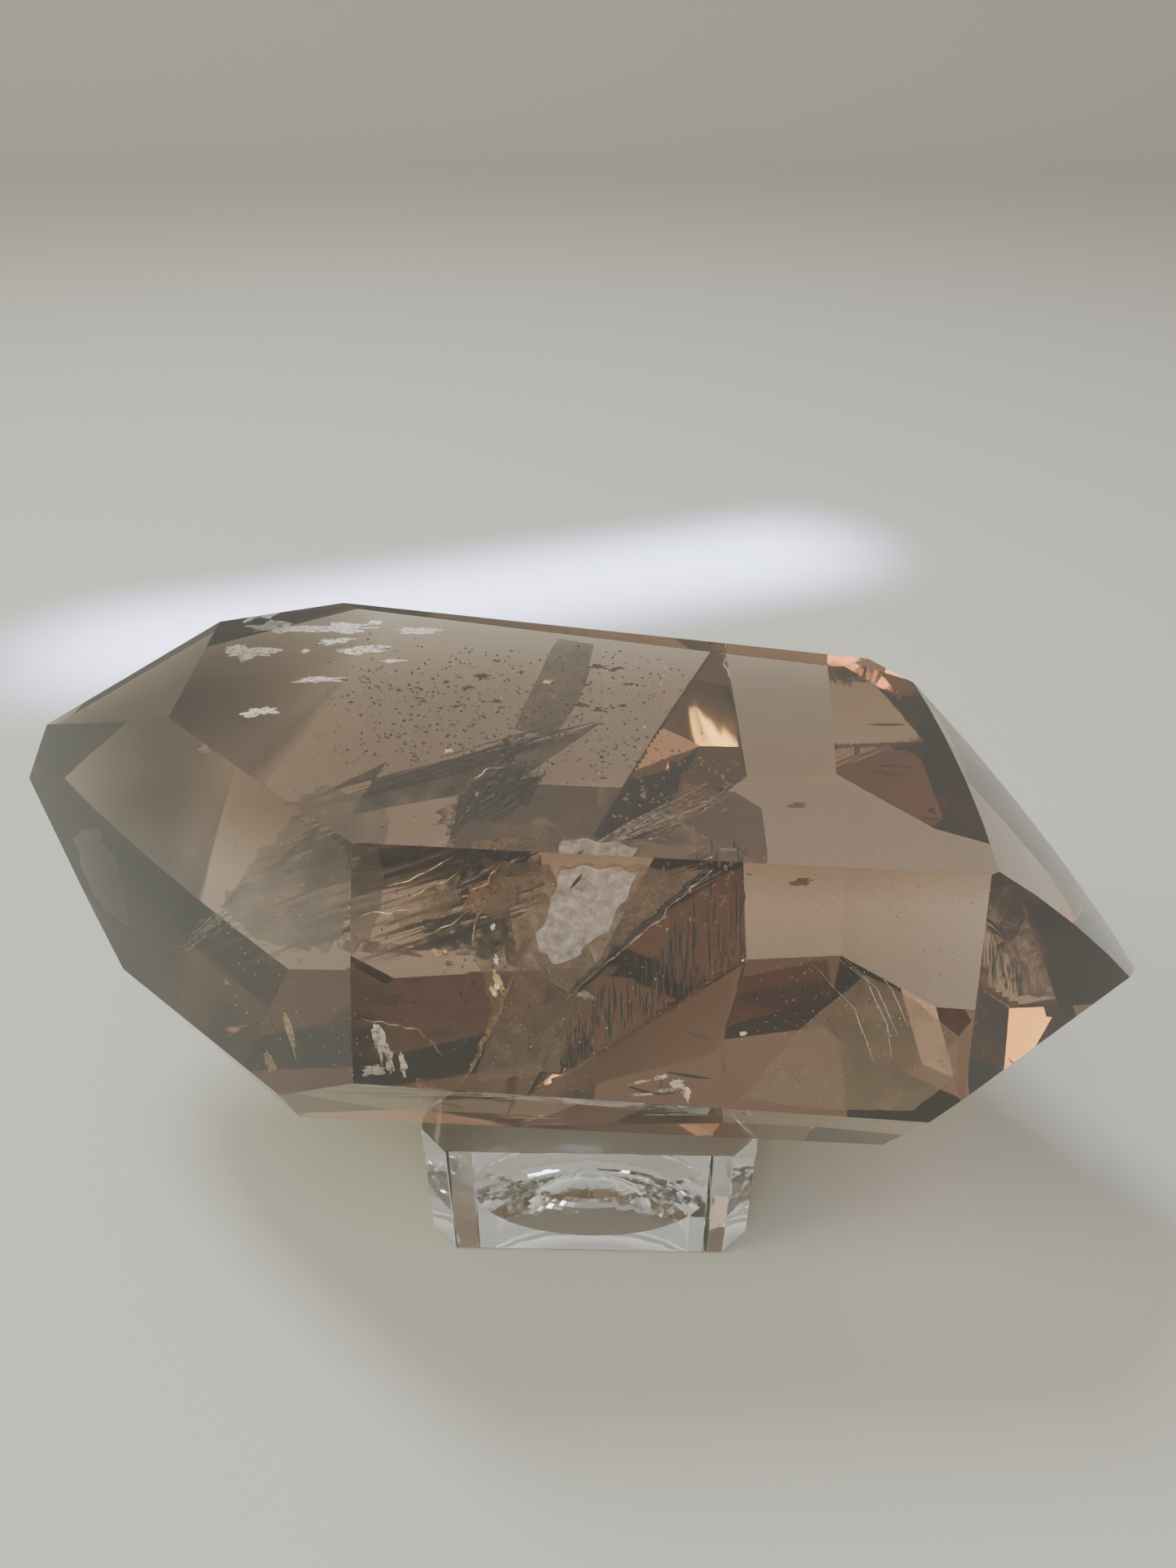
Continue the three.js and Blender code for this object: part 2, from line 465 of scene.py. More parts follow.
# %% [markdown]
# What a fracture looks like
#
# Pressure once cracked this crystal and later growth healed most of it again. What is left are three almost
# flat films of nothing, thinner than a hair. Light that meets such a film steeply passes, and light that
# meets it at more than 40 degrees is turned back completely, which is why a fracture looks like dark glass
# from one side and like silver or gold from another. A second clear body as thin as a hair would need far
# more light paths, so the material is a mirror instead. Its cover follows the same angle through a Fresnel
# node and is broken up by the grain of the healing.

# %% The mirror of a fracture
CRITICAL = 1 / QUARTZ_IOR  # seen from inside, light goes from quartz into air
HEALED_BELOW = 0.72  # of the healing noise, for a cover of 0
OPEN_ABOVE = 0.80
COVER_REACH = 0.42
STILL_OPEN = 0.15  # of the fracture, where it has almost healed


def fracture_material(name, turn, grain, cover, tint, rough=0.12, least=0.05, bump=0.3, healed=None):
    """A healed fracture: silver at a slant, nearly clear from straight on.

    turn: the leaf's own axes as angles. grain: size of the healing pattern in mm along and across the leaf.
    cover: about 0 to 1, how much isn't healed. least: the mirror from straight on.
    healed: two X in mm, from where the fracture is almost healed to where it is fully open.
    """
    material, tree = new_material(name)
    where = add(tree, "ShaderNodeTexCoord")
    along = add(tree, "ShaderNodeMapping", {"vector_type": "POINT"}, Vector=where.outputs["Object"],
                Rotation=turn)
    stretch = add(tree, "ShaderNodeVectorMath", {"operation": "MULTIPLY"}, _0=along.outputs[0],
                  _1=(1 / (grain[0] * MM), 1 / (grain[1] * MM), 1 / (grain[1] * MM)))
    healing = add(tree, "ShaderNodeTexNoise", Vector=stretch.outputs[0], Scale=1.0, Detail=5.0,
                  Roughness=0.62)
    open_part = add(tree, "ShaderNodeMapRange", Value=healing.outputs["Fac"],
                    From_Min=HEALED_BELOW - COVER_REACH * cover, From_Max=OPEN_ABOVE - COVER_REACH * cover)
    side = add(tree, "ShaderNodeNewGeometry")
    bend = add(tree, "ShaderNodeMapRange", Value=side.outputs["Backfacing"], To_Min=CRITICAL,
               To_Max=QUARTZ_IOR)
    mirror = add(tree, "ShaderNodeFresnel", IOR=bend.outputs[0])
    strength = add(tree, "ShaderNodeMapRange", Value=mirror.outputs[0], To_Min=least, To_Max=1.0)
    shown = add(tree, "ShaderNodeMath", {"operation": "MULTIPLY"}, _0=strength.outputs[0],
                _1=open_part.outputs[0])
    if healed:
        parts = add(tree, "ShaderNodeSeparateXYZ", Vector=where.outputs["Object"])
        fade = add(tree, "ShaderNodeMapRange", Value=parts.outputs["X"], From_Min=healed[0] * MM,
                   From_Max=healed[1] * MM, To_Min=STILL_OPEN, To_Max=1.0)
        shown = add(tree, "ShaderNodeMath", {"operation": "MULTIPLY"}, _0=shown.outputs[0],
                    _1=fade.outputs[0])
    ripple = add(tree, "ShaderNodeBump", Strength=bump, Distance=0.4 * MM, Height=healing.outputs["Fac"])
    shader = add(tree, "ShaderNodeBsdfPrincipled", Base_Color=colour(tint), Metallic=1.0, Roughness=rough,
                 Alpha=shown.outputs[0], Normal=ripple.outputs[0])
    add(tree, "ShaderNodeOutputMaterial", Surface=shader.outputs[0])
    return material


print("a fracture turns all light back beyond", round(math.degrees(math.asin(CRITICAL)), 1), "degrees")

# %% [markdown]
# The shape of a fracture
#
# Each fracture is a thin closed leaf. It could be drawn corner by corner, but it ends where the stone ends,
# so a large sheet is cut by the planes of the stone's faces and by a few limits of its own. A slow noise
# gives it the slight swell of a real break.

# %% A leaf cut to the stone
LEAF_THICK = 0.03 * MM
LEAF_CELL = 0.5 * MM
SWELL = (7.0, 1.6)  # mm along and across the grain


def leaf_axes(normal, along):
    """The leaf's own axes: along its grain, across it, and out of it."""
    out = Vector(normal).normalized()
    first = (Vector(along) - out * out.dot(Vector(along))).normalized()
    return first, out.cross(first), out


def leaf_sheet(axes, middle, size, limits):
    """A flat grid about the middle, cut to the inside of the stone and to the limits."""
    first, second, _ = axes
    work = bmesh.new()
    cells = [max(2, round(side * MM / LEAF_CELL)) for side in size]
    bmesh.ops.create_grid(work, x_segments=cells[0], y_segments=cells[1], size=0.5)
    for vertex in work.verts:
        u, v = vertex.co.x * size[0] * MM, vertex.co.y * size[1] * MM
        vertex.co = middle + first * u + second * v
    for point, outward in STONE_PLANES + [(Vector(p) * MM, Vector(o)) for p, o in limits]:
        everything = work.verts[:] + work.edges[:] + work.faces[:]
        bmesh.ops.bisect_plane(work, geom=everything, dist=1e-7, plane_co=point, plane_no=outward,
                               clear_outer=True)
    return work


def thicken(work, out):
    """Closes a sheet into a leaf: a turned copy behind it and a wall round the rim."""
    copy = bmesh.ops.duplicate(work, geom=work.faces[:])
    back = [f for f in copy["geom"] if isinstance(f, bmesh.types.BMFace)]
    bmesh.ops.reverse_faces(work, faces=back)
    for vertex in {v for f in back for v in f.verts}:
        vertex.co -= out * LEAF_THICK
    rims = [e for e in work.edges if e.is_boundary]
    bmesh.ops.bridge_loops(work, edges=rims)
    for face in work.faces:
        face.smooth = True


def fracture(name, normal, reach, along, centre, size, limits, relief, finish, **look):
    """reach: distance of the leaf's plane from the origin in mm. limits: (point in mm, outward) cuts.

    finish: the material's name. look: what fracture_material is told about it.
    """
    axes = first, second, out = leaf_axes(normal, along)
    middle = Vector(centre) * MM
    middle += out * (reach * MM - out.dot(middle))
    work = leaf_sheet(axes, middle, size, limits)
    for vertex in work.verts:
        if not vertex.is_boundary:
            u, v = vertex.co.dot(first) / MM, vertex.co.dot(second) / MM
            vertex.co += out * relief * MM * noise.noise(Vector((u / SWELL[0], v / SWELL[1], reach)))
    thicken(work, out)
    piece = place(name, to_mesh(work, name), fracture_material(finish, Matrix(axes).to_euler(), **look))
    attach(piece, BODY)
    print(name, len(piece.data.polygons), "faces")


# %% [markdown]
# The three fractures
#
# Their planes were found from where each one's edge shows through the top face and through the front face:
# only one plane fits both. The main one is striped by its healing, the steep one across is cloudy, and the
# wing that sweeps to the left is streaked and healed most at its far end.

# %% Main, cross and wing
MAIN_OUT = Vector((-0.672, 0.621, -0.403))
MAIN_EDGE = Vector((-12.5, -24.0, -14.7))  # the way that the main fracture's free edge runs
CROSS_OUT = Vector((-0.953, 0.263, 0.153))
WING_OUT = Vector((-0.489, 0.744, 0.456))

fracture("main_fracture", MAIN_OUT, -4.9, along=(0.15, 0.25, 1), centre=(8, 13, 22), size=(44, 60),
         limits=[((-2, 2.7, 19.7), MAIN_OUT.cross(MAIN_EDGE))],
         relief=0.004, finish="healed_fracture_striped", grain=(8, 0.35), cover=1.15, tint="#e8e2d8",
         rough=0.03, bump=0.0)
fracture("cross_fracture", CROSS_OUT, 12.99, along=(0.1, 0.2, 1), centre=(-5, 14, 28), size=(44, 60),
         limits=[((-5.9, 1.5, 46.1), (-0.173, -0.882, 0.438)), ((0, 7.0, 0), (0, -1, 0))],
         relief=0.12, finish="healed_fracture_cloudy", grain=(9, 3), cover=0.4, tint="#e8e2d8")
fracture("wing_fracture", WING_OUT, 25.59, along=(0.83, 0.545, -0.074), centre=(-16, 3, 34), size=(60, 60),
         limits=[((-5.5, 2.6, 46), -CROSS_OUT), ((-22.6, 7.4, 19.9), (-0.25, 0.25, -1))],
         relief=0.16, finish="healed_fracture_streaked", grain=(12, 1.1), cover=0.58, tint="#b09a78",
         healed=(-24, -12))

# %% [markdown]
# Where an inclusion sits
#
# What lies inside a stone is seen bent by the surface above it. To put a flake where the eye finds it, a ray
# leaves the camera, is bent at the polished face as quartz bends it, and goes on to a chosen depth. The flake
# stays a real thing at a real place, so it also looks right from any other side.

# %% A point at a depth under what the camera sees
PHOTO = (1445, 1927)
VIEW = camera.rotation_euler.to_matrix()
PIXELS = LENS / SENSOR * max(PHOTO)
STONE_SURFACE = BVHTree.FromBMesh(healed_copy("crystal"))


def seen_at(x, y, depth):
    """The point that lies depth mm behind the stone's surface, along the bent ray through a photo pixel.

    The way of the bent ray comes back with it.
    """
    ray = VIEW @ Vector(((x - PHOTO[0] / 2) / PIXELS, (PHOTO[1] / 2 - y) / PIXELS, -1)).normalized()
    hit, outward, _, _ = STONE_SURFACE.ray_cast(CAMERA_AT, ray)
    slant = -ray.dot(outward)
    inward_part = math.sqrt(1 - (1 - slant * slant) / QUARTZ_IOR ** 2)
    bent = ray / QUARTZ_IOR + outward * (slant / QUARTZ_IOR - inward_part)
    return hit + bent * depth * MM, bent


TEST_PIXEL = (722, 1000)
test_point, _ = seen_at(*TEST_PIXEL, depth=10)
print("10 mm under photo pixel", TEST_PIXEL, "is", [round(c / MM, 1) for c in test_point], "mm")

# %% [markdown]
# What the inclusions are made of
#
# A healed crack holds a film of tiny bubbles, grey-white and half open to the eye. Needles of goethite are
# brown-black, and a crack that is still open shows a gold or silver sheen. All of them are one kind of
# material, a thin film with ragged openings: a noise decides where it is there, and its edges are sharp or
# soft. What glitters is metallic, because total reflection has the brightness of metal.

# %% One recipe for all films
BARE_BELOW = 0.80  # of the film's noise, for a cover of 0
COVER_SHARE = 0.45


def film(name, tint, metal, rough, cover, grain, soft=0.2):
    """A thin film with ragged openings. cover: 0 to 1. grain: size of its pattern in mm. soft: blur of it."""
    material, tree = new_material(name)
    where = add(tree, "ShaderNodeTexCoord")
    cloud = add(tree, "ShaderNodeTexNoise", Vector=where.outputs["Object"], Scale=1 / (grain * MM),
                Detail=4.0, Roughness=0.65)
    edge = BARE_BELOW - COVER_SHARE * cover
    shown = add(tree, "ShaderNodeMapRange", Value=cloud.outputs["Fac"], From_Min=edge - soft / 2,
                From_Max=edge + soft / 2)
    ripple = add(tree, "ShaderNodeBump", Strength=0.3, Distance=0.1 * MM, Height=cloud.outputs["Fac"])
    shader = add(tree, "ShaderNodeBsdfPrincipled", Base_Color=colour(tint), Metallic=metal, Roughness=rough,
                 Alpha=shown.outputs[0], Normal=ripple.outputs[0])
    add(tree, "ShaderNodeOutputMaterial", Surface=shader.outputs[0])
    return material


# %% What glitters
# Dense bubbles: white and satin, like frost.
FROST = film("frosted_healing_film", "#ffffff", 1.0, 0.42, 0.85, 0.5)
# Fewer bubbles: a pale satin skin with soft holes.
THIN_FROST = film("thin_healing_film", "#f6ecea", 1.0, 0.7, 0.62, 1.0, soft=0.5)
# Air in a crack: a silver flash, broken where the walls touch.
SILVER = film("silvery_open_crack", "#f0ece4", 1.0, 0.42, 0.8, 0.6)
# Air in a crack with a trace of iron: a golden flash.
GOLD = film("golden_open_crack", "#ecd09a", 1.0, 0.4, 0.8, 0.6)
# The wall of a bubble: a white glint.
PALE_SPECK = film("bubble_wall", "#f2eee6", 1.0, 0.5, 1.4, 0.5)
print("a film that glitters is metallic:", FROST.name, THIN_FROST.name, SILVER.name, GOLD.name)

# %% What only shades
# A rib left by the healing: matt and pale brown.
PALE_BROWN = film("pale_healing_rib", "#8f765c", 0.0, 0.6, 0.9, 0.6)
# Iron stain on a crack: matt tan.
TAN = film("tan_iron_stain_film", "#b08a5c", 0.0, 0.6, 0.8, 0.5)
# Goethite: an unbroken brown-black line with a little gloss.
DARK = film("goethite_needle", "#2b2016", 0.0, 0.4, 1.2, 0.4)
# Clay in a crack: a dark smear with soft edges. It also paints shade in the front face, where the wing
# fracture mirrors a dark part of the room.
DUSKY_CLAY_AND_SHADE = film("dark_clay_and_painted_shade_film", "#3b2e24", 0.0, 0.7, 0.50, 0.9, soft=0.4)
# Veils: bubbles so fine and few that they only dim or whiten what lies behind.
VEIL = film("grey_healing_veil", "#6a5c50", 0.0, 0.8, 0.42, 3.0, soft=1.2)
PALE_VEIL = film("pale_healing_veil", "#8f8882", 0.0, 0.8, 0.30, 3.5, soft=1.3)
MILKY_VEIL = film("milky_healing_veil", "#c0a88a", 0.0, 0.8, 0.34, 3.0, soft=1.3)
TAN_VEIL = film("tan_healing_veil", "#a58a6c", 0.0, 0.8, 0.55, 1.2, soft=0.6)
# Painted shade: the dark that the wing fracture mirrors, as a long brown film.
WING_SHADE_FILM = film("painted_wing_shade", "#5a4436", 0.0, 0.7, 0.62, 2.2, soft=0.9)
# Chlorite: a dark green-grey grain.
DUSKY_SPECK = film("chlorite_grain", "#45412f", 0.0, 0.6, 1.4, 0.5)
print("materials so far:", len(bpy.data.materials))

# %% [markdown]
# Veins, needles and feathers
#
# A healed crack's edge shows as a thin bright line, a needle as a dark one, and a feather is many fine lines
# side by side. They all follow a path, so one Geometry Nodes tree sweeps a flat profile along any line. The
# strip is widest in its middle, and each line says which way its strip faces: a strip that is to flash
# halves the angle between the eye and the window.

# %% A tree put on a mesh
def grown(name, mesh, tree, values):
    """A mesh put through a Geometry Nodes tree, as a plain piece on the body. values: by input name."""
    piece = bpy.data.objects.new(name, mesh)
    bpy.context.scene.collection.objects.link(piece)
    modifier = piece.modifiers.new("tree", "NODES")
    modifier.node_group = tree
    for socket in tree.interface.items_tree:
        if socket.in_out == "INPUT" and socket.name in values:
            modifier[socket.identifier] = values[socket.name]
    evaluated = piece.evaluated_get(bpy.context.evaluated_depsgraph_get())
    piece.data = bpy.data.meshes.new_from_object(evaluated)
    piece.modifiers.clear()
    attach(piece, BODY)
    return piece


def new_tree(name, inputs, output):
    """An empty Geometry Nodes tree. inputs: (name, kind) each."""
    tree = bpy.data.node_groups.new(name, "GeometryNodeTree")
    for socket, kind in inputs:
        tree.interface.new_socket(socket, in_out="INPUT", socket_type="NodeSocket" + kind)
    tree.interface.new_socket(output, in_out="OUTPUT", socket_type="NodeSocketGeometry")
    return tree


# %% The tree that sweeps strips
def strip_tree():
    """Lines become flat closed strips, widest in their middle and equally thick all along.

    Each point of a line knows three things: which way its strip faces, its side, and its bulge, which is 0
    at the tips and 1 in the middle. The sweep gives the faces, and each corner is then set in its place.
    """
    tree = new_tree("strips_along_lines", (("Lines", "Geometry"), ("Width", "Float"), ("Thickness", "Float"),
                                           ("Tip share", "Float"), ("Finish", "Material")), "Strips")
    given = add(tree, "NodeGroupInput").outputs
    vector = {"data_type": "FLOAT_VECTOR"}
    here = add(tree, "GeometryNodeInputPosition").outputs[0]
    facing, side, middle, corner = (
        add(tree, "GeometryNodeInputNamedAttribute", vector, Name=name).outputs["Attribute"]
        for name in ("facing", "side", "middle", "corner"))
    bulge = add(tree, "GeometryNodeInputNamedAttribute", {"data_type": "FLOAT"}, Name="bulge")

    # The sweep. A profile's X becomes the curve's normal, and the 2 by 2 profile has its corners at 1 and -1.
    path = add(tree, "GeometryNodeMeshToCurve", Mesh=given["Lines"])
    marked = add(tree, "GeometryNodeStoreNamedAttribute", vector, Geometry=path.outputs[0], Name="middle",
                 Value=here)
    turned = add(tree, "GeometryNodeSetCurveNormal", {"mode": "FREE"}, Curve=marked.outputs[0], Normal=facing)
    square = add(tree, "GeometryNodeCurvePrimitiveQuadrilateral", Width=2.0, Height=2.0)
    profile = add(tree, "GeometryNodeStoreNamedAttribute", vector, Geometry=square.outputs[0], Name="corner",
                  Value=here)
    swept = add(tree, "GeometryNodeCurveToMesh", Curve=turned.outputs[0], Profile_Curve=profile.outputs[0],
                Fill_Caps=True)

    # Each corner's place: sideways by the width there, and out by half the thickness.
    share = add(tree, "ShaderNodeMapRange", Value=bulge.outputs["Attribute"], To_Min=given["Tip share"],
                To_Max=1.0)
    whole = add(tree, "ShaderNodeMath", {"operation": "MULTIPLY"}, _0=share.outputs[0], _1=given["Width"])
    half = add(tree, "ShaderNodeMath", {"operation": "MULTIPLY"}, _0=whole.outputs[0], _1=0.5)
    thin = add(tree, "ShaderNodeMath", {"operation": "MULTIPLY"}, _0=given["Thickness"], _1=0.5)
    signs = add(tree, "ShaderNodeSeparateXYZ", _0=corner)
    sideways = add(tree, "ShaderNodeMath", {"operation": "MULTIPLY"}, _0=half.outputs[0],
                   _1=signs.outputs["Y"])
    outwards = add(tree, "ShaderNodeMath", {"operation": "MULTIPLY"}, _0=thin.outputs[0],
                   _1=signs.outputs["X"])
    across = add(tree, "ShaderNodeVectorMath", {"operation": "SCALE"}, _0=side, Scale=sideways.outputs[0])
    out = add(tree, "ShaderNodeVectorMath", {"operation": "SCALE"}, _0=facing, Scale=outwards.outputs[0])
    both = add(tree, "ShaderNodeVectorMath", {"operation": "ADD"}, _0=across.outputs[0], _1=out.outputs[0])
    corner_place = add(tree, "ShaderNodeVectorMath", {"operation": "ADD"}, _0=middle, _1=both.outputs[0])
    strip = add(tree, "GeometryNodeSetPosition", Geometry=swept.outputs[0], Position=corner_place.outputs[0])

    bare = add(tree, "GeometryNodeSetShadeSmooth", Geometry=strip.outputs[0], Shade_Smooth=False)
    for spare in ("facing", "side", "bulge", "middle", "corner", "custom_normal"):
        bare = add(tree, "GeometryNodeRemoveAttribute", Geometry=bare.outputs[0], Name=spare)
    real = add(tree, "GeometryNodeRealizeInstances", Geometry=bare.outputs[0])
    done = add(tree, "GeometryNodeSetMaterial", Geometry=real.outputs[0], Material=given["Finish"])
    tree.links.new(done.outputs[0], add(tree, "NodeGroupOutput").inputs[0])
    return tree


STRIP_TREE = strip_tree()
print("strip tree:", len(STRIP_TREE.nodes), "nodes")

# %% From photo pixels to lines in the stone
STRIP_THICK = 0.05 * MM
WINDOW_INSIDE = Vector((-0.22, 0.26, 0.94))  # the way to the window, as bent by the top face
PATH_STEP = 0.4 * MM
WAVER_SIZE = 0.8  # swings per mm
STRIP_SEED_STEP = 7.3


def smooth_path(corners, waver, seed):
    """Points every few tenths of a mm along a wavering line through the corners."""
    path = []
    for first, second in zip(corners, corners[1:]):
        steps = max(2, round((second - first).length / PATH_STEP))
        path += [first.lerp(second, i / steps) for i in range(steps)]
    path.append(corners[-1])
    draw = [noise.noise_vector(point / MM * WAVER_SIZE + Vector((seed, 0, 0))) * waver * MM for point in path]
    return [point + shift for point, shift in zip(path, draw)]


def line_mesh(name, paths, facings):
    """The paths as edges of one mesh, each point with its facing, side and bulge for the strip tree."""
    points, edges, ways, sides, bulges = [], [], [], [], []
    for path, facing in zip(paths, facings):
        last = len(path) - 1
        edges += [(len(points) + i, len(points) + i + 1) for i in range(last)]
        points += path
        for i in range(last + 1):
            along = (path[min(i + 1, last)] - path[max(i - 1, 0)]).normalized()
            ways += list(facing)
            sides += list(along.cross(facing).normalized())
            bulges.append(math.sin(math.pi * i / last))
    mesh = bpy.data.meshes.new(name)
    mesh.from_pydata(points, edges, [])
    for attribute, values in (("facing", ways), ("side", sides)):
        mesh.attributes.new(attribute, "FLOAT_VECTOR", "POINT").data.foreach_set("vector", values)
    mesh.attributes.new("bulge", "FLOAT", "POINT").data.foreach_set("value", bulges)
    return mesh


def strips(name, lines, material, depth, width, tips=0.15, waver=0.12, flash=1.0):
    """One piece of several strips. lines: lists of photo pixels. depth and width in mm.

    tips: share of the width left at both ends. flash: 1 turns the strips to mirror the window.
    """
    paths, facings = [], []
    for seed, line in enumerate(lines):
        seen = [seen_at(x, y, depth) for x, y in line]
        facings.append((-seen[0][1] + WINDOW_INSIDE * flash).normalized())
        wavering = smooth_path([point for point, _ in seen], waver, seed * STRIP_SEED_STEP)
        paths.append(push_inside(wavering))
    grown(name, line_mesh(name, paths, facings), STRIP_TREE,
          {"Width": width * MM, "Thickness": STRIP_THICK, "Tip share": tips, "Finish": material})
    print(name, len(lines), "strips")


# %% [markdown]
# Single lines
#
# The few lines that the eye picks out one by one are placed one by one, by the pixels where the photo shows
# them: the golden veins in the front face, the long tan foot of the cross fracture, dark needles, fine
# scratches just under the polish, and the grey veil that crosses the top.

# %% Golden veins and the tan foot line
WAVY_GOLD_LINES = [[(567, 1070), (545, 1086), (522, 1092), (497, 1107)],
                   [(613, 1060), (598, 1086), (583, 1092), (567, 1117)],
                   [(572, 960), (600, 946), (632, 936)],
                   [(431, 1249), (470, 1254), (513, 1267), (546, 1299)],
                   [(478, 1090), (520, 1075), (560, 1050)],
                   [(440, 1130), (470, 1122), (512, 1118)],
                   [(520, 1150), (548, 1140), (575, 1120)],
                   [(600, 1110), (585, 1135), (580, 1160)]]
FOOT_LINE = [[(633, 1193), (616, 1236), (596, 1276), (567, 1337)]]
FOOT_LINE_TOP = [[(660, 955), (640, 990), (610, 1047)]]

strips("golden_lines", WAVY_GOLD_LINES, GOLD, 3.0, 0.12, waver=0.35)
strips("foot_line", FOOT_LINE, TAN, 4.0, 0.45, waver=0.3)
strips("foot_line_above", FOOT_LINE_TOP, TAN, 30.0, 1.0, tips=0.6)

# %% Needles, scratches, light streaks and the veil across the top
DARK_NEEDLES = [[(700, 1227), (730, 1201), (760, 1177)],
                [(324, 1238), (346, 1280), (368, 1320)],
                [(820, 1318), (850, 1322), (873, 1325)],
                [(736, 956), (742, 956), (748, 957)],
                [(700, 1092), (708, 1082), (716, 1074)],
                [(772, 1336), (800, 1344), (830, 1342)]]
FINE_SCRATCHES = [[(1020, 1170), (1065, 1205), (1090, 1260), (1096, 1300)],
                  [(1040, 1180), (1078, 1215), (1104, 1275)],
                  [(1000, 1186), (1050, 1240), (1074, 1306)],
                  [(1060, 1170), (1096, 1216), (1116, 1262)]]
LIGHT_STREAKS = [[(888, 806), (894, 822), (899, 836)],
                 [(812, 842), (815, 828), (818, 817)],
                 [(790, 897), (794, 890), (797, 886)],
                 [(560, 1010), (585, 980), (600, 955)]]
CROSS_VEIL = [[(707, 788), (690, 838), (656, 902)]]

strips("dark_needles", DARK_NEEDLES, DARK, 3.5, 0.3)
strips("fine_scratches", FINE_SCRATCHES, FROST, 0.6, 0.07, waver=0.05)
strips("light_streaks", LIGHT_STREAKS, SILVER, 12.0, 0.25, waver=0.4)
strips("cross_veil", CROSS_VEIL, VEIL, 9.0, 4.6, tips=0.8, flash=0.0)

# %% [markdown]
# Feathers and striations
#
# Where a healing crack grew in steps it left many fine lines side by side. They draw together at one end
# like a feather, or stand upright in a row like the teeth of a comb. Drawing each by hand would be slow and
# would look regular, so a fixed seed draws their lengths and places between two ends.

# %% Feathers
GLEAM_FEATHER = ((905, 968), (722, 1048))  # the first and the last photo pixel of each
RAGGED_EDGE = ((664, 938), (572, 1008))
RAGGED_RIM = ((664, 930), (566, 985))
LEFT_FEATHER = ((288, 1118), (222, 1170))
WING_FEATHER = ((740, 882), (380, 990))
LAST_START = 0.6  # where along the feather its last lines start
LINE_LENGTHS = (0.25, 0.6)  # shortest and longest line, as shares of the feather
NARROWING = 0.6
BOW = 0.3  # of the width


def feather(first, last, width, count, seed):
    """Pixel lines side by side from first to last, of uneven length, drawing together at the end."""
    draw = random.Random(seed)
    (x0, y0), (x1, y1) = first, last
    length = math.hypot(x1 - x0, y1 - y0)
    across = (-(y1 - y0) / length, (x1 - x0) / length)
    lines = []
    for _ in range(count):
        start = draw.uniform(0, LAST_START)
        end = min(1, start + draw.uniform(*LINE_LENGTHS))
        side, bow = draw.uniform(-0.5, 0.5) * width, draw.uniform(-BOW, BOW) * width
        line = []
        for share in (start, (start + end) / 2, end):
            off = side * (1 - NARROWING * share) + bow * math.sin(math.pi * share)
            line.append((x0 + (x1 - x0) * share + across[0] * off, y0 + (y1 - y0) * share + across[1] * off))
        lines.append(line)
    return lines


strips("feather_strands", feather(*GLEAM_FEATHER, width=42, count=30, seed=3), SILVER, 12.0, 0.09, tips=0.3)
strips("ragged_strands", feather(*RAGGED_EDGE, width=60, count=24, seed=4), DARK, 12.0, 0.22, tips=0.3,
       flash=0.0)
strips("ragged_rims", feather(*RAGGED_RIM, width=44, count=10, seed=5), SILVER, 12.0, 0.12, tips=0.3)
strips("left_feather", feather(*LEFT_FEATHER, width=30, count=14, seed=6), SILVER, 5.0, 0.12, tips=0.3)
strips("wing_strands", feather(*WING_FEATHER, width=26, count=26, seed=8), DARK, 12.0, 0.10, tips=0.4,
       flash=0.0)

# %% Striations of the main fracture
STRIATION_TOP = ((690, 1262), (868, 1068))  # slanted upper edge of the striped part
STRIATION_FOOT = ((690, 1318), (915, 1188))
STRIATION_STEP = 3  # pixels between neighbours, times a chance
STEP_CHANCE = (0.4, 1.4)
SHORTEST_STRIATION = 12
STRIATION_LEAN = 2


def striation_lines(seed):
    """Short upright lines between two slanted edges, of uneven length."""
    draw = random.Random(seed)
    lines = []
    (x0, top0), (x1, top1) = STRIATION_TOP
    (_, foot0), (x2, foot1) = STRIATION_FOOT
    x = x0
    while x < x2:
        top = top0 + (top1 - top0) * min(1, (x - x0) / (x1 - x0))
        foot = foot0 + (foot1 - foot0) * (x - x0) / (x2 - x0)
        start = draw.uniform(top, foot - SHORTEST_STRIATION)
        end = draw.uniform(start + SHORTEST_STRIATION, foot)
        lean = draw.uniform(-STRIATION_LEAN, STRIATION_LEAN)
        lines.append([(x, start), (x + lean, (start + end) / 2), (x, end)])
        x += STRIATION_STEP * draw.uniform(*STEP_CHANCE)
    return lines


strips("striations", striation_lines(11), PALE_BROWN, 6.0, 0.07, tips=0.3, waver=0.1, flash=0.0)
strips("dark_striations", striation_lines(12), DARK, 7.0, 0.16, tips=0.3, waver=0.1, flash=0.0)

# %% The torn edge of the frosted patch
PATCH_EDGE = [(660, 1176), (672, 1200), (697, 1219), (722, 1196), (761, 1163), (790, 1140), (820, 1110),
              (868, 1066)]
LIT_SIDE = (5, 3)  # pixels from the edge's dark line to its bright one

lit_edge = [(x + LIT_SIDE[0], y + LIT_SIDE[1]) for x, y in PATCH_EDGE]
strips("patch_edge_dark", [PATCH_EDGE], DARK, 2.4, 0.35, tips=0.5, waver=0.35, flash=0.0)
strips("patch_edge_light", [lit_edge], SILVER, 2.2, 0.12, tips=0.3, waver=0.35)

# %% [markdown]
# Flakes
#
# Small healed cracks are round or ragged flakes. Each is a thin closed plate, long and wide as the photo
# shows it, with a rim that a noise makes ragged. It shines only if it halves the angle between the eye and
# the window, so the bright ones are turned that way, with a little chance.

